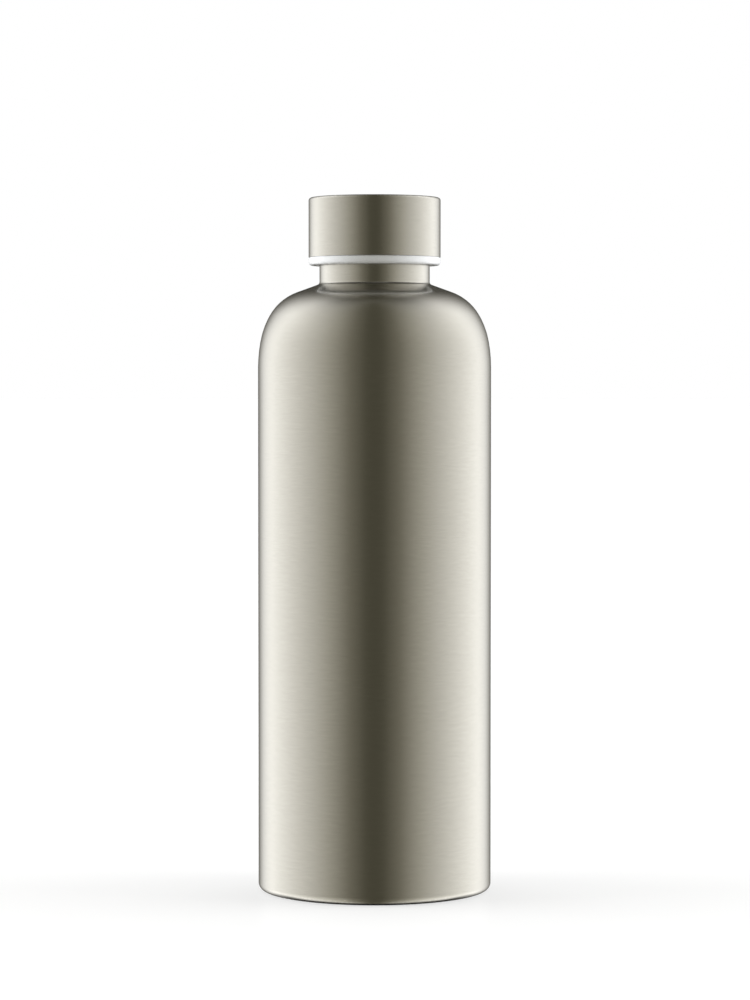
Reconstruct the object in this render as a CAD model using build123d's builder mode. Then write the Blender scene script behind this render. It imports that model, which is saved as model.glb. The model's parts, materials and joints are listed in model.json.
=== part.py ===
from build123d import *
import os

# An insulated water bottle: a double-walled, evacuated stainless steel flask with a two-start screw lid.
# Millimetres, +Z up. The origin is the centre of the base, on the plane that the bottle stands on.

# ---------------------------------------------------------------- driving dimensions
body_radius = 36.5
total_height = 217.0
sheet = 0.4  # thickness of both flask walls
vacuum_gap = 3.2  # between the two walls, down the side

# Outer flask. The shoulder is three tangent arcs, (radius, turn in degrees), then a cone up to the neck.
base_edge_radius = 2.3
shoulder_start = 164.0
shoulder_arcs = [(45.0, 10.0), (26.8, 19.0), (16.1, 41.0)]
neck_radius = 17.25
neck_foot_radius = 1.0
lip_top = 207.9

# Liner
liner_neck_radius = 15.6
liner_weld_height = 16.0
liner_floor = 9.0
liner_corner_radius = 6.0
lip_roll_radius = 0.9
foil_thickness = 0.05
foil_gap = 0.1

# Screw thread: two starts, so the ridges of both starts stand half a lead apart.
thread_lead = 8.0
thread_starts = 2
thread_foot = 198.6
thread_rise = 6.4
thread_height = 1.0
thread_root_width = 2.4
thread_crest_width = 1.2
thread_clearance = 0.25  # from a crest to the facing root
ridge_bite = 0.2  # how far a ridge's profile is sunk into its wall
run_out_angle = 26.0  # over which a ridge fades into its wall at each end

# Lid
lid_radius = 20.65
lid_bottom = 195.85
ring_height = 2.35
cover_gap = 0.2  # shadow gap between the ring and the cover
cover_sheet = 0.45
cover_edge_radius = 0.9
skirt_radius = 20.15
ceiling = 209.9
ceiling_thickness = 1.4
plug_radius = 14.0
plug_bottom = 203.0
plug_wall = 1.4
plug_edge = 0.8
bore_lead_in = 0.4
ring_edge_radius = 1.0
chamber_radius = 18.0
plate_radius = 18.75
plate_bottom = 214.75
plate_thickness = 1.5
fit_gap = 0.05  # between pieces that are pushed together

# Seal
seal_inner_radius = 14.08
seal_outer_radius = 18.1
seal_gap = 0.05  # above and below the ring
retaining_bead = 0.5

# Bottom
foot_inner_radius = 30.5
shell_lip_radius = 33.8
base_sheet = 0.5
base_recess = 1.6
foot_edge_radius = 0.4
closing_height = 5.0
closing_corner_radius = 1.2
dimple_radius = 7.0
dimple_depth = 1.2
pump_hole_radius = 1.0
getter_radius = 5.0
getter_offset = 19.0

os.makedirs("parts", exist_ok=True)


def finish(builder, name):
    """Labels a finished piece and writes its STEP file."""
    builder.part.label = name
    export_step(builder.part, f"parts/{name}.step")


def flask_side(inset, neck, foot, top):
    """Draws a flask wall's half outline at a distance inside the outer surface: up the side from foot, over
    the shoulder and up the neck to top. Gives its first and last points."""
    side = Line((body_radius - inset, foot), (body_radius - inset, shoulder_start))
    end, heading = side @ 1, side % 1
    for radius, turn in shoulder_arcs:
        arc = JernArc(start=end, tangent=heading, radius=radius - inset, arc_size=turn)
        end, heading = arc @ 1, arc % 1
    neck_foot = end.Y + (end.X - neck) * -heading.Y / heading.X
    FilletPolyline((end.X, end.Y), (neck, neck_foot), (neck, top), radius=neck_foot_radius + inset)
    return side @ 0, Vector(neck, top)


def thread_ridge(root_radius, crest_radius, foot, start_angle):
    """One start of the thread: a swept trapezoid that climbs thread_rise, faded into its wall at both ends."""
    outward = 1 if crest_radius > root_radius else -1
    with BuildPart() as ridge:
        with BuildLine():
            helix = Helix(pitch=thread_lead, height=thread_rise, radius=root_radius, center=(0, 0, foot))
        with BuildSketch(Plane(origin=helix @ 0, x_dir=(outward, 0, 0), z_dir=helix % 0)):
            with BuildLine():
                Polyline(
                    (-ridge_bite, thread_root_width / 2),
                    (0, thread_root_width / 2),
                    (thread_height, thread_crest_width / 2),
                    (thread_height, -thread_crest_width / 2),
                    (0, -thread_root_width / 2),
                    (-ridge_bite, -thread_root_width / 2),
                    close=True,
                )
            make_face()
        sweep(is_frenet=True)
        turned = 360 * thread_rise / thread_lead
        for end_angle, inside in ((0, 1), (turned, -1)):
            fade_end(root_radius, crest_radius, end_angle, inside * run_out_angle)
    return ridge.part.rotate(Axis.Z, start_angle)


def fade_end(root_radius, crest_radius, end_angle, run_out):
    """Cuts the end of the current ridge along a straight ramp, from the root at the ridge's end to the crest."""
    outward = 1 if crest_radius > root_radius else -1
    low_radius = root_radius - outward * ridge_bite
    low = Vector(low_radius, 0).rotate(Axis.Z, end_angle)
    high = Vector(crest_radius, 0).rotate(Axis.Z, end_angle + run_out)
    along = high - low
    away = Vector(along.Y, -along.X) * (1 if run_out > 0 else -1) * outward
    height = thread_rise + 4 * thread_root_width
    ramp = Plane(origin=(low + high) / 2 + Vector(0, 0, thread_foot), x_dir=along, z_dir=away)
    with Locations(ramp):
        Box(
            1.6 * along.length,
            2 * height,
            2 * thread_height,
            align=(Align.CENTER, Align.CENTER, Align.MIN),
            mode=Mode.SUBTRACT,
        )


# ---------------------------------------------------------------- outer flask
neck_ridge = thread_ridge(neck_radius, neck_radius + thread_height, thread_foot, 0)

with BuildPart() as outer_shell:
    with BuildSketch(Plane.XZ):
        with BuildLine():
            outer_foot, outer_top = flask_side(0, neck_radius, base_edge_radius, lip_top - sheet)
            inner_foot, inner_top = flask_side(sheet, neck_radius - sheet, base_edge_radius, lip_top - sheet)
            Line(outer_top, inner_top)
            outer_edge = JernArc(outer_foot, (0, -1), base_edge_radius, -90)
            inner_edge = JernArc(inner_foot, (0, -1), base_edge_radius - sheet, -90)
            Polyline(outer_edge @ 1, (shell_lip_radius, 0), (shell_lip_radius, sheet), inner_edge @ 1)
        make_face()
    revolve(axis=Axis.Z)
    with PolarLocations(0, thread_starts):
        add(neck_ridge)
finish(outer_shell, "outer_shell")

# ---------------------------------------------------------------- vacuum closure and base cover
closing_radius = body_radius - sheet
with BuildPart() as outer_base:
    with BuildSketch(Plane.XZ) as closing_profile:
        with BuildLine():
            Polyline(
                (closing_radius, base_edge_radius),
                (closing_radius, closing_height),
                (dimple_radius + dimple_depth, closing_height),
                (dimple_radius, closing_height + dimple_depth),
                (pump_hole_radius, closing_height + dimple_depth),
                (pump_hole_radius, closing_height + dimple_depth - base_sheet),
                (dimple_radius - base_sheet / 2, closing_height + dimple_depth - base_sheet),
                (dimple_radius + dimple_depth - base_sheet / 2, closing_height - base_sheet),
                (closing_radius - base_sheet, closing_height - base_sheet),
                (closing_radius - base_sheet, base_edge_radius),
                close=True,
            )
        make_face()
        inner_corner = closing_profile.vertices().group_by(Axis.X)[-2].sort_by(Axis.Y)[-1]
        fillet(inner_corner, closing_corner_radius - base_sheet)
        outer_corner = closing_profile.vertices().group_by(Axis.X)[-1].sort_by(Axis.Y)[-1]
        fillet(outer_corner, closing_corner_radius)
    revolve(axis=Axis.Z)
finish(outer_base, "outer_base")

bead_ceiling = closing_height + dimple_depth
with BuildPart() as vacuum_seal:
    with BuildSketch(Plane.XY.offset(bead_ceiling - base_sheet)):
        Circle(pump_hole_radius)
    extrude(amount=base_sheet)
    with BuildSketch(Plane.XY.offset(bead_ceiling - base_sheet)):
        Circle(3 * pump_hole_radius)
    extrude(amount=-0.8 * pump_hole_radius)
    fillet(vacuum_seal.edges().sort_by(Axis.Z)[0], 0.6)
finish(vacuum_seal, "vacuum_seal")

cover_radius = shell_lip_radius - 2 * fit_gap
bend_zone = (foot_inner_radius - base_recess - base_sheet, foot_inner_radius + base_sheet)
with BuildPart() as base_cover:
    with BuildSketch(Plane.XZ) as cover_profile:
        with BuildLine():
            Polyline(
                (0, base_recess),
                (foot_inner_radius - base_recess, base_recess),
                (foot_inner_radius, 0),
                (cover_radius, 0),
                (cover_radius, closing_height - 3 * base_sheet),
                (cover_radius - base_sheet, closing_height - 3 * base_sheet),
                (cover_radius - base_sheet, base_sheet),
                (foot_inner_radius + base_sheet / 2, base_sheet),
                (foot_inner_radius - base_recess + base_sheet / 2, base_recess + base_sheet),
                (0, base_recess + base_sheet),
                close=True,
            )
        make_face()
        foot_corner = cover_profile.vertices().group_by(Axis.X)[-1].sort_by(Axis.Y)[0]
        fillet(foot_corner, foot_edge_radius)
        bends = cover_profile.vertices().filter_by_position(Axis.X, bend_zone[0], bend_zone[1])
        fillet(bends, base_sheet)
    revolve(axis=Axis.Z)
finish(base_cover, "base_cover")

with BuildPart() as base_bond_ring:
    with BuildSketch(Plane.XY.offset(base_edge_radius / 2)):
        Circle(closing_radius - base_sheet)
        Circle(cover_radius, mode=Mode.SUBTRACT)
    extrude(amount=closing_height / 2)
finish(base_bond_ring, "base_bond_ring")

with BuildPart() as getter_cup:
    with BuildSketch(Plane.XY.offset(closing_height)):
        with Locations((getter_offset, 0)):
            Circle(getter_radius)
    extrude(amount=1.2)
    offset(amount=-0.2, openings=getter_cup.faces().sort_by(Axis.Z)[-1])
finish(getter_cup, "getter_cup")

with BuildPart() as getter_pellet:
    with BuildSketch(Plane.XY.offset(closing_height + 0.2)):
        with Locations((getter_offset, 0)):
            Circle(getter_radius - 0.3)
    extrude(amount=0.8)
finish(getter_pellet, "getter_pellet")

# ---------------------------------------------------------------- liner
liner_inset = sheet + vacuum_gap
liner_radius = body_radius - liner_inset
lip_radius = liner_neck_radius - sheet
with BuildPart() as inner_flask:
    with BuildSketch(Plane.XZ):
        with BuildLine():
            roll_foot = lip_top - lip_roll_radius
            outside = flask_side(liner_inset, liner_neck_radius, liner_weld_height, roll_foot)
            inside = flask_side(liner_inset + sheet, lip_radius, liner_weld_height, roll_foot)
            Line(outside[0], inside[0])
            inner_roll = JernArc(inside[1], (0, 1), lip_roll_radius, -90)
            outer_roll = JernArc(outside[1], (0, 1), lip_roll_radius - sheet, -90)
            Polyline(inner_roll @ 1, (neck_radius, lip_top), (neck_radius, lip_top - sheet), outer_roll @ 1)
        make_face()
    revolve(axis=Axis.Z)
finish(inner_flask, "inner_flask")

with BuildPart() as inner_base:
    with BuildSketch(Plane.XZ):
        with BuildLine():
            Line((0, liner_floor), (liner_radius - liner_corner_radius, liner_floor))
            corner = JernArc((liner_radius - liner_corner_radius, liner_floor), (1, 0), liner_corner_radius, 90)
            inner_corner = JernArc(
                (liner_radius - liner_corner_radius, liner_floor + sheet),
                (1, 0),
                liner_corner_radius - sheet,
                90,
            )
            Line((0, liner_floor + sheet), (liner_radius - liner_corner_radius, liner_floor + sheet))
            Line((0, liner_floor), (0, liner_floor + sheet))
            Polyline(
                corner @ 1,
                (liner_radius, liner_weld_height),
                (liner_radius - sheet, liner_weld_height),
                inner_corner @ 1,
            )
        make_face()
    revolve(axis=Axis.Z)
finish(inner_base, "inner_base")

with BuildPart() as copper_foil:
    with BuildSketch(Plane.XY.offset(liner_weld_height + 2)):
        Circle(liner_radius + foil_gap + foil_thickness)
        Circle(liner_radius + foil_gap, mode=Mode.SUBTRACT)
    extrude(amount=shoulder_start - liner_weld_height - 6)
finish(copper_foil, "copper_foil")

# ---------------------------------------------------------------- lid
ring_top = lid_bottom + ring_height
cover_bottom = ring_top + cover_gap
chamber_floor = ceiling + ceiling_thickness
plate_top = plate_bottom + plate_thickness
bore_radius = neck_radius + thread_height + thread_clearance
bead_top = lip_top - seal_gap
half_pitch_angle = 180 / thread_starts
lid_ridge = thread_ridge(bore_radius, bore_radius - thread_height, thread_foot, half_pitch_angle)

with BuildPart() as lid_body:
    with BuildSketch(Plane.XZ):
        with BuildLine():
            Polyline(
                (0, plug_bottom),
                (plug_radius - plug_edge, plug_bottom),
                (plug_radius, plug_bottom + plug_edge),
                (plug_radius, bead_top - 3 * retaining_bead),
                (plug_radius + retaining_bead, bead_top - retaining_bead),
                (plug_radius + retaining_bead, bead_top),
                (plug_radius, bead_top),
                (plug_radius, ceiling),
                (bore_radius, ceiling),
                (bore_radius, lid_bottom + bore_lead_in),
                (bore_radius + bore_lead_in, lid_bottom),
                (lid_radius, lid_bottom),
                (lid_radius, ring_top),
                (skirt_radius, ring_top),
                (skirt_radius, plate_top - bore_lead_in),
                (skirt_radius - bore_lead_in, plate_top),
                (plate_radius + fit_gap, plate_top),
                (plate_radius + fit_gap, plate_bottom),
                (chamber_radius, plate_bottom),
                (chamber_radius, chamber_floor),
                (plug_radius - plug_wall, chamber_floor),
                (plug_radius - plug_wall, plug_bottom + plug_wall),
                (0, plug_bottom + plug_wall),
                close=True,
            )
        make_face()
    revolve(axis=Axis.Z)
    rims = lid_body.edges().filter_by(GeomType.CIRCLE).filter_by(lambda edge: abs(edge.radius - lid_radius) < 0.01)
    fillet(rims.sort_by(Axis.Z)[0], ring_edge_radius)
    with PolarLocations(0, thread_starts):
        add(lid_ridge)
finish(lid_body, "lid_body")

with BuildPart() as lid_foam:
    with BuildSketch(Plane.XY.offset(plug_bottom + plug_wall)):
        Circle(plug_radius - plug_wall)
    extrude(amount=chamber_floor - plug_bottom - plug_wall)
    with BuildSketch(Plane.XY.offset(chamber_floor)):
        Circle(chamber_radius)
    extrude(amount=plate_bottom - chamber_floor)
finish(lid_foam, "lid_foam")

with BuildPart() as lid_top_plate:
    with BuildSketch(Plane.XY.offset(plate_bottom)):
        Circle(plate_radius)
    extrude(amount=plate_thickness)
    chamfer(lid_top_plate.edges().group_by(Axis.Z)[-1], 0.3)
finish(lid_top_plate, "lid_top_plate")

cover_ceiling = total_height - cover_sheet
with BuildPart() as cover_bond_disc:
    with BuildSketch(Plane.XY.offset(plate_top)):
        Circle(plate_radius - 1)
    extrude(amount=cover_ceiling - plate_top)
finish(cover_bond_disc, "cover_bond_disc")

with BuildPart() as lid_cover:
    with BuildSketch(Plane.XY.offset(cover_bottom)):
        Circle(lid_radius)
    extrude(amount=total_height - cover_bottom)
    fillet(lid_cover.edges().group_by(Axis.Z)[-1], cover_edge_radius)
    offset(amount=-cover_sheet, openings=lid_cover.faces().sort_by(Axis.Z)[0])
finish(lid_cover, "lid_cover")

with BuildPart() as seal_ring:
    with BuildSketch(Plane.XZ):
        with Locations(((seal_inner_radius + seal_outer_radius) / 2, (lip_top + ceiling) / 2)):
            RectangleRounded(seal_outer_radius - seal_inner_radius, ceiling - lip_top - 2 * seal_gap, 0.4)
    revolve(axis=Axis.Z)
finish(seal_ring, "seal_ring")
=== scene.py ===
import json
import math

import bpy
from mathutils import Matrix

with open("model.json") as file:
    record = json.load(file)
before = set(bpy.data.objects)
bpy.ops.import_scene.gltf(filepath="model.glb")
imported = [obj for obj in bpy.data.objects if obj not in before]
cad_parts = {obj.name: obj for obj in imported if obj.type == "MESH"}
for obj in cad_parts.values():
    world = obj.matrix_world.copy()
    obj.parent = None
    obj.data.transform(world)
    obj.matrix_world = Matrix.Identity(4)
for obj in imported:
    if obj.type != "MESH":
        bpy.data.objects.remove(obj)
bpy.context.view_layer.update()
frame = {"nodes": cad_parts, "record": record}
NODES = frame["nodes"]

# ---------------------------------------------------------------- camera
CAMERA_AT = (0.000125, -1.0496, 0.1582)
CAMERA_PITCH_DOWN = 1.952
CAMERA_LENS = 120.5
SENSOR_WIDTH = 36.0


def make_camera():
    """The camera stands in front at about the height of the shoulder and looks slightly down."""
    data = bpy.data.cameras.new("camera")
    data.lens = CAMERA_LENS
    data.sensor_width = SENSOR_WIDTH
    camera = bpy.data.objects.new("camera", data)
    camera.location = CAMERA_AT
    camera.rotation_euler = (math.radians(90 - CAMERA_PITCH_DOWN), 0, 0)
    bpy.context.scene.collection.objects.link(camera)
    bpy.context.scene.camera = camera
    bpy.context.scene.view_settings.view_transform = "Standard"


# ---------------------------------------------------------------- node helpers
def node(tree, kind, **values):
    """Adds a node and sets its properties."""
    made = tree.nodes.new(kind)
    for name, value in values.items():
        setattr(made, name, value)
    return made


def wire(tree, source, target):
    """Links an output to an input, or sets the input to a constant."""
    if isinstance(source, bpy.types.NodeSocket):
        tree.links.new(source, target)
    else:
        target.default_value = source


def calc(tree, operation, a, b=0.0):
    """A Math node's result."""
    made = node(tree, "ShaderNodeMath", operation=operation)
    wire(tree, a, made.inputs[0])
    wire(tree, b, made.inputs[1])
    return made.outputs[0]


def ramp(tree, factor, stops):
    """A colour ramp through (position, colour) stops, or (position, value) stops."""
    made = node(tree, "ShaderNodeValToRGB")
    elements = made.color_ramp.elements
    while len(elements) < len(stops):
        elements.new(0.5)
    for element, (position, colour) in zip(elements, stops):
        element.position = position
        element.color = (*colour, 1.0) if isinstance(colour, tuple) else (colour, colour, colour, 1.0)
    wire(tree, factor, made.inputs[0])
    return made.outputs[0]


def blend(tree, mode, factor, a, b):
    """Two colours mixed in the given mode. The factor may be over 1, which passes the second colour."""
    made = node(tree, "ShaderNodeMix", data_type="RGBA", blend_type=mode, clamp_factor=False)
    wire(tree, factor, made.inputs[0])
    wire(tree, a, made.inputs[6])
    wire(tree, b, made.inputs[7])
    return made.outputs[2]


def rescale(tree, value, start, end, low=0.0, high=1.0, smooth=False):
    """Maps start to end onto low to high, and holds it there beyond both ends."""
    kind = "SMOOTHSTEP" if smooth else "LINEAR"
    made = node(tree, "ShaderNodeMapRange", interpolation_type=kind)
    for socket, source in zip(made.inputs, (value, start, end, low, high)):
        wire(tree, source, socket)
    return made.outputs[0]


def principled(name, colour, **inputs):
    """A material with a Principled shader, its base colour, and other inputs set by name."""
    material = bpy.data.materials.new(name)
    material.use_nodes = True
    tree = material.node_tree
    shader = tree.nodes["Principled BSDF"]
    shader.inputs["Base Color"].default_value = (*colour, 1.0)
    for key, value in inputs.items():
        shader.inputs[key.replace("_", " ")].default_value = value
    return material, tree, shader


# ---------------------------------------------------------------- studio
# Degrees round from the front, and the light from there at eye level: dark in front, bright behind each side.
AROUND = [
    (0, (0.108, 0.102, 0.073)),
    (8, (0.116, 0.110, 0.079)),
    (25, (0.252, 0.239, 0.190)),
    (45, (0.550, 0.534, 0.464)),
    (80, (1.080, 1.070, 1.015)),
    (105, (1.500, 1.495, 1.460)),
    (120, (1.720, 1.720, 1.700)),
    (180, (1.720, 1.720, 1.700)),
]
# A dark upright flag stands behind the object: how far off its middle line, and the share of light
# that passes there.
FLAG = [
    (0.0, (0.008, 0.007, 0.006)),
    (0.10, (0.040, 0.038, 0.032)),
    (0.22, (0.085, 0.082, 0.073)),
    (0.37, (0.240, 0.236, 0.225)),
    (0.49, (0.450, 0.446, 0.440)),
    (0.59, 0.67),
    (0.71, 0.88),
    (0.82, 1.0),
]
FLAG_TAPER = 0.65
FLAG_TAPER_POWER = 4.0
BEHIND = (-0.2, 0.2)
# The sine of the height above or below eye level, and how strong the side light is there.
ABOVE = [(0.0, 0.64), (0.55, 0.655), (0.75, 0.55), (0.87, 0.40), (0.95, 0.24), (1.0, 0.10)]
BELOW = [(0.0, 0.64), (0.2, 0.66), (0.45, 0.90), (0.8, 0.95), (0.97, 0.6), (1.0, 0.05)]
EYE_LEVEL = 0.64
BACKDROP = (1.0, 1.0, 1.0)
# Two shaded parts of the room. Each starts and is full at these sines of depth or height, and at these shares
# of the way behind the object, and takes away this share of the light.
UNDERNEATH = {"level": (0.4, 0.7), "back": (0.05, 0.45), "shade": 0.9}
HIGH_BEHIND = {"level": (0.85, 0.95), "back": (0.1, 0.4), "shade": 0.55}


def shaded_part(tree, level, back, part):
    """The share of light that one shaded part of the room takes away."""
    inside = calc(tree, "MULTIPLY", rescale(tree, level, *part["level"]), rescale(tree, back, *part["back"]))
    return calc(tree, "MULTIPLY", inside, part["shade"])


def make_world():
    """The studio as light arriving from every direction. Only the camera sees the plain white backdrop."""
    world = bpy.data.worlds.new("studio")
    bpy.context.scene.world = world
    world.use_nodes = True
    tree = world.node_tree
    tree.nodes.clear()
    split = node(tree, "ShaderNodeSeparateXYZ")
    wire(tree, node(tree, "ShaderNodeTexCoord").outputs["Generated"], split.inputs[0])
    across = calc(tree, "ABSOLUTE", split.outputs[0])
    ahead = calc(tree, "MULTIPLY", split.outputs[1], -1.0)
    around = calc(tree, "DIVIDE", calc(tree, "ARCTAN2", across, ahead), math.pi)
    light = ramp(tree, around, [(degrees / 180, colour) for degrees, colour in AROUND])
    height = calc(tree, "MAXIMUM", split.outputs[2], 0.0)
    depth = calc(tree, "MAXIMUM", calc(tree, "MULTIPLY", split.outputs[2], -1.0), 0.0)

    taper = calc(tree, "MULTIPLY", calc(tree, "POWER", height, FLAG_TAPER_POWER), FLAG_TAPER)
    flag = ramp(tree, calc(tree, "MULTIPLY", across, calc(tree, "ADD", taper, 1.0)), FLAG)
    behind = rescale(tree, split.outputs[1], *BEHIND, smooth=True)
    flagged = blend(tree, "MULTIPLY", behind, light, flag)

    raised = calc(tree, "SUBTRACT", ramp(tree, depth, BELOW), EYE_LEVEL)
    level = calc(tree, "DIVIDE", calc(tree, "ADD", ramp(tree, height, ABOVE), raised), EYE_LEVEL)
    studio = blend(tree, "MIX", level, (*AROUND[0][1], 1.0), flagged)

    # The object shades the floor that it stands on, and the room is darker high up behind it.
    underneath = shaded_part(tree, depth, split.outputs[1], UNDERNEATH)
    high_behind = shaded_part(tree, height, split.outputs[1], HIGH_BEHIND)
    dark = calc(tree, "ADD", underneath, high_behind)
    shaded = node(tree, "ShaderNodeVectorMath", operation="SCALE")
    wire(tree, studio, shaded.inputs[0])
    wire(tree, calc(tree, "SUBTRACT", 1.0, dark), shaded.inputs["Scale"])

    seen = node(tree, "ShaderNodeLightPath").outputs["Is Camera Ray"]
    background = node(tree, "ShaderNodeBackground")
    wire(tree, blend(tree, "MIX", seen, shaded.outputs[0], (*BACKDROP, 1.0)), background.inputs[0])
    wire(tree, background.outputs[0], node(tree, "ShaderNodeOutputWorld").inputs[0])


def add_light(name, kind, place, turn, **settings):
    """A light that doesn't show in the steel, which has the studio to reflect."""
    data = bpy.data.lights.new(name, kind)
    for key, value in settings.items():
        setattr(data, key, value)
    light = bpy.data.objects.new(name, data)
    light.location = place
    light.rotation_euler = [math.radians(angle) for angle in turn]
    light.visible_glossy = False
    light.visible_camera = False
    bpy.context.scene.collection.objects.link(light)


SUN_AT = (0.0, 1.0, 1.5)
SUN_TURN = (-32, 0, 0)
SUN = {"energy": 0.75, "angle": math.radians(50)}
BOX_AWAY = 1.2
BOX_UP = 0.35
BOX = {"shape": "RECTANGLE", "size": 1.0, "size_y": 1.0, "energy": 12.5}


def make_lights():
    """Soft light from high behind, for a faint shadow towards the front, and a soft box on each side."""
    add_light("high_back", "SUN", SUN_AT, SUN_TURN, **SUN)
    for name, side in (("left_box", -1), ("right_box", 1)):
        add_light(name, "AREA", (side * BOX_AWAY, 0.0, BOX_UP), (0, side * 90, 0), **BOX)


FLOOR_HALF = 40.0
FLOOR_GREY = (0.5, 0.5, 0.5)
FLOOR_LIGHT = (0.965, 0.975, 1.0)
# Painted shadow in the floor's glow: the distances in metres from the object's middle where the shadow starts
# to lift and where it is gone, then the glow at those two distances.
FLOOR_PAINTED_SHADOW_NEAR_FAR = (0.08, 0.5)
FLOOR_GLOW_WITH_PAINTED_SHADOW = (0.515, 0.64)
FLOOR_GLOSS = 0.035
FLOOR_GLOSS_ROUGHNESS = 0.12


def make_floor():
    """A plain pale floor that glows bright enough to read as white, with a trace of gloss, and a painted
    shadow: its glow is dimmer near the object.
    """
    corners = [(x * FLOOR_HALF, y * FLOOR_HALF, 0) for x, y in ((-1, -1), (1, -1), (1, 1), (-1, 1))]
    mesh = bpy.data.meshes.new("floor")
    mesh.from_pydata(corners, [], [(0, 1, 2, 3)])
    floor = bpy.data.objects.new("floor", mesh)
    bpy.context.scene.collection.objects.link(floor)
    material, tree, shader = principled("floor", FLOOR_GREY, Roughness=1.0, Specular_IOR_Level=0.0)
    shader.inputs["Emission Color"].default_value = (*FLOOR_LIGHT, 1.0)
    from_object = node(tree, "ShaderNodeVectorMath", operation="LENGTH")
    wire(tree, node(tree, "ShaderNodeTexCoord").outputs["Object"], from_object.inputs[0])
    # Painted shadow: the glow is dimmer near the object and rises smoothly to full further out.
    glow_with_painted_shadow = rescale(tree, from_object.outputs["Value"], *FLOOR_PAINTED_SHADOW_NEAR_FAR, *FLOOR_GLOW_WITH_PAINTED_SHADOW, smooth=True)
    wire(tree, glow_with_painted_shadow, shader.inputs["Emission Strength"])
    gloss = node(tree, "ShaderNodeBsdfGlossy")
    gloss.inputs["Color"].default_value = (FLOOR_GLOSS, FLOOR_GLOSS, FLOOR_GLOSS, 1.0)
    gloss.inputs["Roughness"].default_value = FLOOR_GLOSS_ROUGHNESS
    both = node(tree, "ShaderNodeAddShader")
    wire(tree, shader.outputs[0], both.inputs[0])
    wire(tree, gloss.outputs[0], both.inputs[1])
    wire(tree, both.outputs[0], tree.nodes["Material Output"].inputs[0])
    floor.data.materials.append(material)
    floor.visible_glossy = False
    floor.visible_diffuse = False


# ---------------------------------------------------------------- material helpers, in millimetres
MM_PER_METRE = 1000.0


def place_on_piece(tree):
    """The point in its piece's own frame, its height, and its distance from the bottle's axis."""
    point = node(tree, "ShaderNodeVectorMath", operation="SCALE")
    wire(tree, node(tree, "ShaderNodeTexCoord").outputs["Object"], point.inputs[0])
    wire(tree, MM_PER_METRE, point.inputs["Scale"])
    split = node(tree, "ShaderNodeSeparateXYZ")
    wire(tree, point.outputs[0], split.inputs[0])
    x_squared = calc(tree, "MULTIPLY", split.outputs[0], split.outputs[0])
    y_squared = calc(tree, "MULTIPLY", split.outputs[1], split.outputs[1])
    radius = calc(tree, "SQRT", calc(tree, "ADD", x_squared, y_squared))
    return point.outputs[0], split.outputs[2], radius


def noise(tree, point, per_mm, detail=2.0, roughness=0.5):
    """Noise of a given number of features per millimetre."""
    made = node(tree, "ShaderNodeTexNoise")
    wire(tree, point, made.inputs["Vector"])
    made.inputs["Scale"].default_value = per_mm
    made.inputs["Detail"].default_value = detail
    made.inputs["Roughness"].default_value = roughness
    return made.outputs[0]


def cells(tree, point, per_mm, feature="F1"):
    """Distance to the nearest cell point, or to the edge between cells."""
    made = node(tree, "ShaderNodeTexVoronoi", feature=feature)
    wire(tree, point, made.inputs["Vector"])
    made.inputs["Scale"].default_value = per_mm
    return made.outputs["Distance"]


def relief(tree, shader, height, depth_mm, normal=None):
    """Bump from a height of 0 to 1 that stands for so many millimetres."""
    made = node(tree, "ShaderNodeBump")
    made.inputs["Distance"].default_value = depth_mm / MM_PER_METRE
    wire(tree, height, made.inputs["Height"])
    if normal:
        wire(tree, normal, made.inputs["Normal"])
    wire(tree, made.outputs[0], shader.inputs["Normal"])


def lit(colour, share):
    """A colour made lighter or darker, for a node's socket."""
    return tuple(min(part * share, 1.0) for part in colour) + (1.0,)


def vary(tree, shader, colour, spread, factor):
    """Base colour that runs from darker to lighter by the spread as the factor goes from 0 to 1."""
    mixed = blend(tree, "MIX", factor, lit(colour, 1 - spread), lit(colour, 1 + spread))
    wire(tree, mixed, shader.inputs["Base Color"])
    return mixed


# ---------------------------------------------------------------- turned surfaces
# The shoulder's arcs, from the top of the straight side: radius, and the degrees that it turns through.
SHOULDER_START = 164.0
SHOULDER_ARCS = [(45.0, 10.0), (26.8, 19.0), (16.1, 41.0)]
SHOULDER_INNER_RADIUS = 19.0
# The cosine within which a normal counts as straight out from the axis. Others, as at a thread's end, stay.
NEARLY_RADIAL = 0.995


def join(tree, x, y, z):
    """A vector from its three parts."""
    made = node(tree, "ShaderNodeCombineXYZ")
    for socket, part in zip(made.inputs, (x, y, z)):
        wire(tree, part, socket)
    return made.outputs[0]


def own_rise(tree, height, radius, rise):
    """The surface keeps the upward part of its own normal."""
    return rise


def shoulder_rise(tree, height, radius, rise):
    """On the shoulder the upward part of the normal climbs evenly with height along each arc."""
    top, turned = SHOULDER_START, 0.0
    stops = [(top, 0.0)]
    for arc_radius, degrees in SHOULDER_ARCS:
        before = math.sin(turned)
        turned += math.radians(degrees)
        top += arc_radius * (math.sin(turned) - before)
        stops.append((top, math.sin(turned)))
    length = top - SHOULDER_START
    along = rescale(tree, height, SHOULDER_START, top)
    climbing = ramp(tree, along, [((at - SHOULDER_START) / length, value) for at, value in stops])
    above_start = calc(tree, "GREATER_THAN", height, SHOULDER_START)
    below_top = calc(tree, "LESS_THAN", height, top)
    outside = calc(tree, "GREATER_THAN", radius, SHOULDER_INNER_RADIUS)
    here = calc(tree, "MULTIPLY", calc(tree, "MULTIPLY", above_start, below_top), outside)
    return calc(tree, "ADD", rise, calc(tree, "MULTIPLY", here, calc(tree, "SUBTRACT", climbing, rise)))


def length_across(tree, along):
    """The other side of a right triangle whose long side is 1."""
    return calc(tree, "SQRT", calc(tree, "SUBTRACT", 1.0, calc(tree, "MULTIPLY", along, along)))


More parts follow.
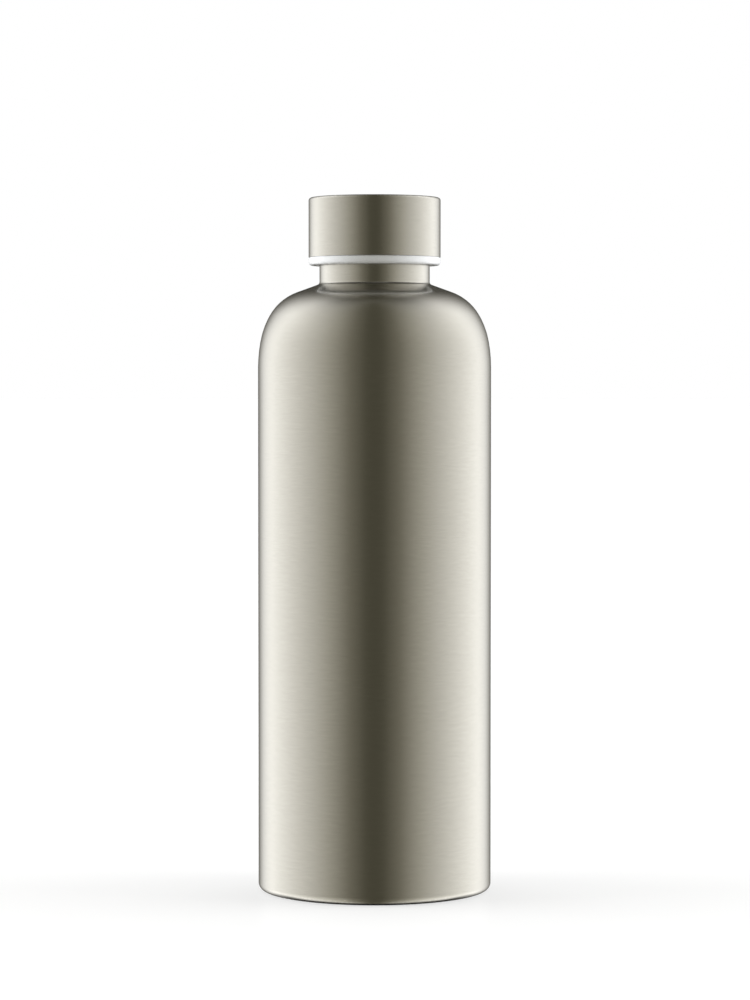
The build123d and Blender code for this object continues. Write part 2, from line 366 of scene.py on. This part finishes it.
def turned_normal(tree, height, radius, rise_of):
    """A turned surface's normal, straight out from the axis, so that no seam or facet of its mesh shows."""
    place = node(tree, "ShaderNodeTexCoord")
    own = node(tree, "ShaderNodeSeparateXYZ")
    wire(tree, place.outputs["Normal"], own.inputs[0])
    at = node(tree, "ShaderNodeSeparateXYZ")
    wire(tree, place.outputs["Object"], at.inputs[0])
    outward = node(tree, "ShaderNodeVectorMath", operation="NORMALIZE")
    wire(tree, join(tree, at.outputs[0], at.outputs[1], 0.0), outward.inputs[0])
    facing = node(tree, "ShaderNodeVectorMath", operation="DOT_PRODUCT")
    wire(tree, outward.outputs[0], facing.inputs[0])
    wire(tree, place.outputs["Normal"], facing.inputs[1])
    toward = facing.outputs["Value"]

    needed = calc(tree, "MULTIPLY", length_across(tree, own.outputs[2]), NEARLY_RADIAL)
    radial = calc(tree, "GREATER_THAN", calc(tree, "ABSOLUTE", toward), needed)
    rise = rise_of(tree, height, radius, own.outputs[2])
    reach = calc(tree, "MULTIPLY", length_across(tree, rise), calc(tree, "SIGN", toward))
    out = node(tree, "ShaderNodeSeparateXYZ")
    wire(tree, outward.outputs[0], out.inputs[0])
    across = [calc(tree, "MULTIPLY", part, reach) for part in (out.outputs[0], out.outputs[1])]
    turned = join(tree, *across, rise)

    chosen = node(tree, "ShaderNodeMix", data_type="VECTOR")
    wire(tree, radial, chosen.inputs[0])
    wire(tree, place.outputs["Normal"], chosen.inputs[4])
    wire(tree, turned, chosen.inputs[5])
    in_world = node(tree, "ShaderNodeVectorTransform", vector_type="NORMAL")
    in_world.convert_from = "OBJECT"
    in_world.convert_to = "WORLD"
    wire(tree, chosen.outputs[1], in_world.inputs[0])
    return in_world.outputs[0]


# ---------------------------------------------------------------- metals
STREAK_STRETCH = 0.04
FINE_STREAKS = 7.0
COARSE_STREAKS = 1.6
FINE_SHARE = 0.85
STREAK_TONE = 0.035
STREAK_ROUGHNESS = 0.02
SMUDGES = 0.035
SMUDGE_TONE = 0.06
NICKS = 0.9
RUBBED_LIGHTER = 1.3
RUBBED_SMOOTHER = 0.07

# Where the steel is rubbed, by height and by distance from the axis: where the wear starts and is full.
BASE_EDGE = (1.8, 0.2)
FOOT_RING = (0.6, 0.05)
THREAD_FROM = (196.0, 197.0)
THREAD_CREST = (17.7, 18.15)
LID_TOP = (216.2, 216.8)
LID_TOP_EDGE = (19.7, 20.3)


def streaks(tree, point, height, radius):
    """Two sizes of brushing streak, which run round the axis on walls and flats alike."""
    split = node(tree, "ShaderNodeSeparateXYZ")
    wire(tree, point, split.inputs[0])
    joined = node(tree, "ShaderNodeCombineXYZ")
    wire(tree, calc(tree, "MULTIPLY", split.outputs[0], STREAK_STRETCH), joined.inputs[0])
    wire(tree, calc(tree, "MULTIPLY", split.outputs[1], STREAK_STRETCH), joined.inputs[1])
    wire(tree, calc(tree, "SUBTRACT", height, radius), joined.inputs[2])
    fine = noise(tree, joined.outputs[0], FINE_STREAKS, detail=3.0, roughness=0.6)
    coarse = noise(tree, joined.outputs[0], COARSE_STREAKS, detail=2.0)
    return fine, coarse


def no_wear(tree, height, radius):
    """Nothing rubs this surface."""
    return 0.0


def body_wear(tree, height, radius):
    """The base edge rubs on tables, and the thread's crests rub in the lid."""
    base = rescale(tree, height, *BASE_EDGE)
    thread = calc(tree, "MULTIPLY", rescale(tree, height, *THREAD_FROM), rescale(tree, radius, *THREAD_CREST))
    return calc(tree, "MAXIMUM", base, thread)


def cover_wear(tree, height, radius):
    """Hands and bags polish the top edge of the lid's cover."""
    return calc(tree, "MULTIPLY", rescale(tree, height, *LID_TOP), rescale(tree, radius, *LID_TOP_EDGE))


def base_wear(tree, height, radius):
    """The foot ring under the bottle is scuffed by what it stands on."""
    return rescale(tree, height, *FOOT_RING)


def brushed_steel(name, colour, roughness, anisotropy, wear=no_wear, relief_mm=0.0014, rise=own_rise):
    """Steel brushed round its axis, with smudges from handling, and rubbed bright where wear says."""
    material, tree, shader = principled(name, colour, Metallic=1.0, Anisotropic=anisotropy)
    shader.inputs["Anisotropic Rotation"].default_value = 0.25
    tangent = node(tree, "ShaderNodeTangent", direction_type="RADIAL", axis="Z")
    wire(tree, tangent.outputs[0], shader.inputs["Tangent"])
    point, height, radius = place_on_piece(tree)
    fine, coarse = streaks(tree, point, height, radius)
    smudge = rescale(tree, noise(tree, point, SMUDGES, detail=4.0, roughness=0.6), 0.4, 0.65)

    fine_part = calc(tree, "MULTIPLY", fine, FINE_SHARE)
    grain = calc(tree, "ADD", fine_part, calc(tree, "MULTIPLY", coarse, 1.0 - FINE_SHARE))
    smudged = calc(tree, "MULTIPLY", smudge, SMUDGE_TONE)
    tone = calc(tree, "SUBTRACT", rescale(tree, grain, 0.35, 0.65), smudged)
    streaked = vary(tree, shader, colour, STREAK_TONE, tone)
    nicks = rescale(tree, noise(tree, point, NICKS, detail=3.0, roughness=0.7), 0.47, 0.6)
    worn = calc(tree, "MULTIPLY", wear(tree, height, radius), nicks)
    rubbed = blend(tree, "MIX", worn, streaked, lit(colour, RUBBED_LIGHTER))
    wire(tree, rubbed, shader.inputs["Base Color"])

    rough = rescale(tree, fine, 0.3, 0.7, roughness - STREAK_ROUGHNESS, roughness + STREAK_ROUGHNESS)
    rough = calc(tree, "ADD", rough, calc(tree, "MULTIPLY", smudge, STREAK_ROUGHNESS))
    rough = calc(tree, "SUBTRACT", rough, calc(tree, "MULTIPLY", worn, RUBBED_SMOOTHER))
    wire(tree, rough, shader.inputs["Roughness"])
    relief(tree, shader, grain, relief_mm, turned_normal(tree, height, radius, rise))
    return material


def milled_steel(name, colour, roughness):
    """Sheet as it comes from the mill: a dull frosted surface with faint clouds."""
    material, tree, shader = principled(name, colour, Metallic=1.0)
    point, _, _ = place_on_piece(tree)
    frost = noise(tree, point, 6.0, detail=3.0)
    cloud = noise(tree, point, 0.08, detail=3.0)
    vary(tree, shader, colour, 0.08, rescale(tree, cloud, 0.35, 0.65))
    wire(tree, rescale(tree, frost, 0.3, 0.7, roughness - 0.06, roughness + 0.06), shader.inputs["Roughness"])
    relief(tree, shader, frost, 0.006)
    return material


def copper_foil(name, colour):
    """Thin foil wrapped by hand: flat facets between sharp creases, with brown oxide along them."""
    material, tree, shader = principled(name, colour, Metallic=1.0)
    point, _, _ = place_on_piece(tree)
    crease = cells(tree, point, 0.11, feature="DISTANCE_TO_EDGE")
    ripple = noise(tree, point, 0.25, detail=4.0)
    oxide = rescale(tree, crease, 0.0, 0.12, 1.0, 0.0)
    browned = calc(tree, "MULTIPLY", oxide, rescale(tree, ripple, 0.4, 0.65))
    bright = vary(tree, shader, colour, 0.08, ripple)
    wire(tree, blend(tree, "MIX", browned, bright, lit(colour, 0.55)), shader.inputs["Base Color"])
    wire(tree, rescale(tree, ripple, 0.3, 0.7, 0.22, 0.42), shader.inputs["Roughness"])
    folded = calc(tree, "ADD", rescale(tree, crease, 0.0, 0.3), ripple)
    relief(tree, shader, folded, 0.5)
    return material


def sintered(name, colour):
    """Pressed metal powder: dark grains with open pores. The colour is painted lighter on each grain's top
    and darker towards the pores, painted shade that follows the bumps.
    """
    material, tree, shader = principled(name, colour, Metallic=0.7)
    point, _, _ = place_on_piece(tree)
    grains = cells(tree, point, 3.5)
    # Painted shade: the colour is lighter at each grain's middle and darker towards the pores between the
    # grains.
    vary(tree, shader, colour, 0.35, rescale(tree, grains, 0.0, 0.8, 1.0, 0.0))
    wire(tree, rescale(tree, grains, 0.0, 0.8, 0.5, 0.8), shader.inputs["Roughness"])
    relief(tree, shader, rescale(tree, grains, 0.0, 0.8, 1.0, 0.0), 0.12)
    return material


# ---------------------------------------------------------------- plastics, rubber and the rest
def moulded_plastic(name, colour, roughness, grain_mm, **inputs):
    """Injection-moulded plastic: a very fine eroded texture and faint flow clouds."""
    material, tree, shader = principled(name, colour, **inputs)
    point, _, _ = place_on_piece(tree)
    texture = noise(tree, point, 4.0, detail=3.0, roughness=0.6)
    flow = noise(tree, point, 0.06, detail=3.0)
    vary(tree, shader, colour, 0.02, rescale(tree, flow, 0.3, 0.7))
    rough = rescale(tree, texture, 0.3, 0.7, roughness - 0.05, roughness + 0.05)
    wire(tree, rough, shader.inputs["Roughness"])
    relief(tree, shader, texture, grain_mm)
    return material


def silicone(name, colour):
    """Soft rubber with a frosted skin that holds a little dust."""
    material, tree, shader = principled(name, colour, Subsurface_Weight=0.25, Subsurface_Scale=0.002)
    point, _, _ = place_on_piece(tree)
    skin = noise(tree, point, 2.5, detail=4.0)
    dust = rescale(tree, noise(tree, point, 5.0, detail=1.0), 0.68, 0.74)
    base = vary(tree, shader, colour, 0.03, skin)
    dusty = blend(tree, "MIX", calc(tree, "MULTIPLY", dust, 0.5), base, lit(colour, 0.7))
    wire(tree, dusty, shader.inputs["Base Color"])
    wire(tree, rescale(tree, skin, 0.3, 0.7, 0.42, 0.58), shader.inputs["Roughness"])
    relief(tree, shader, skin, 0.02)
    return material


def bead_foam(name, colour):
    """Expanded foam: small rounded beads pressed together, with dark lines where they meet."""
    material, tree, shader = principled(name, colour)
    point, _, _ = place_on_piece(tree)
    seam = cells(tree, point, 0.45, feature="DISTANCE_TO_EDGE")
    fill = rescale(tree, seam, 0.0, 0.12, smooth=True)
    vary(tree, shader, colour, 0.07, fill)
    wire(tree, rescale(tree, fill, 0.0, 1.0, 0.95, 0.75), shader.inputs["Roughness"])
    relief(tree, shader, rescale(tree, seam, 0.0, 0.4, smooth=True), 0.35)
    return material


def solder_glass(name, colour):
    """A melted bead of dark sealing glass, smooth, with a few bubbles under its skin."""
    material, tree, shader = principled(name, colour, Coat_Weight=0.5, Coat_Roughness=0.05)
    point, _, _ = place_on_piece(tree)
    bubble = rescale(tree, cells(tree, point, 1.6), 0.12, 0.22, 1.0, 0.0, smooth=True)
    swirl = noise(tree, point, 0.5, detail=3.0)
    base = vary(tree, shader, colour, 0.25, swirl)
    wire(tree, blend(tree, "MIX", bubble, base, lit(colour, 2.2)), shader.inputs["Base Color"])
    wire(tree, rescale(tree, swirl, 0.3, 0.7, 0.08, 0.2), shader.inputs["Roughness"])
    relief(tree, shader, swirl, 0.1)
    return material


def set_adhesive(name, colour):
    """Glue that has flowed and set: uneven, a little glossy, with trapped bubbles."""
    material, tree, shader = principled(name, colour)
    point, _, _ = place_on_piece(tree)
    flow = noise(tree, point, 0.3, detail=3.0, roughness=0.6)
    bubble = rescale(tree, cells(tree, point, 0.9), 0.1, 0.2, 1.0, 0.0, smooth=True)
    base = vary(tree, shader, colour, 0.12, flow)
    wire(tree, blend(tree, "MIX", bubble, base, lit(colour, 1.15)), shader.inputs["Base Color"])
    wire(tree, rescale(tree, flow, 0.3, 0.7, 0.25, 0.5), shader.inputs["Roughness"])
    relief(tree, shader, calc(tree, "ADD", flow, bubble), 0.1)
    return material


# ---------------------------------------------------------------- the finish of each material slot
STEEL = (0.500, 0.486, 0.448)
LINER_STEEL = (0.60, 0.59, 0.565)
MILL_STEEL = (0.55, 0.54, 0.52)


def make_finishes():
    """One material for each slot in the record."""
    return {
        "body_steel": brushed_steel("body_steel", STEEL, 0.21, 0.6, body_wear, rise=shoulder_rise),
        "cover_steel": brushed_steel("cover_steel", STEEL, 0.21, 0.6, cover_wear),
        "liner_steel": brushed_steel("liner_steel", LINER_STEEL, 0.17, 0.35, relief_mm=0.0012),
        "base_steel": brushed_steel("base_steel", STEEL, 0.25, 0.5, base_wear),
        "hidden_steel": milled_steel("hidden_steel", MILL_STEEL, 0.38),
        "lid_white": moulded_plastic("lid_white", (0.81, 0.83, 0.87), 0.27, 0.006, Specular_IOR_Level=0.6),
        "plate_white": moulded_plastic("plate_white", (0.82, 0.82, 0.80), 0.50, 0.012),
        "seal_silicone": silicone("seal_silicone", (0.74, 0.75, 0.74)),
        "foam": bead_foam("foam", (0.86, 0.85, 0.81)),
        "copper": copper_foil("copper", (0.86, 0.50, 0.34)),
        "getter_alloy": sintered("getter_alloy", (0.22, 0.21, 0.20)),
        "solder_glass": solder_glass("solder_glass", (0.10, 0.12, 0.10)),
        "adhesive": set_adhesive("adhesive", (0.72, 0.69, 0.58)),
    }


def dress_nodes():
    """Every CAD node keeps its shape and takes the finish of its slot."""
    finishes = make_finishes()
    for subpart in frame["record"]["subparts"]:
        materials = NODES[subpart["node"]].data.materials
        materials.clear()
        materials.append(finishes[subpart["material_slot"]])


make_camera()
make_world()
make_lights()
make_floor()
dress_nodes()
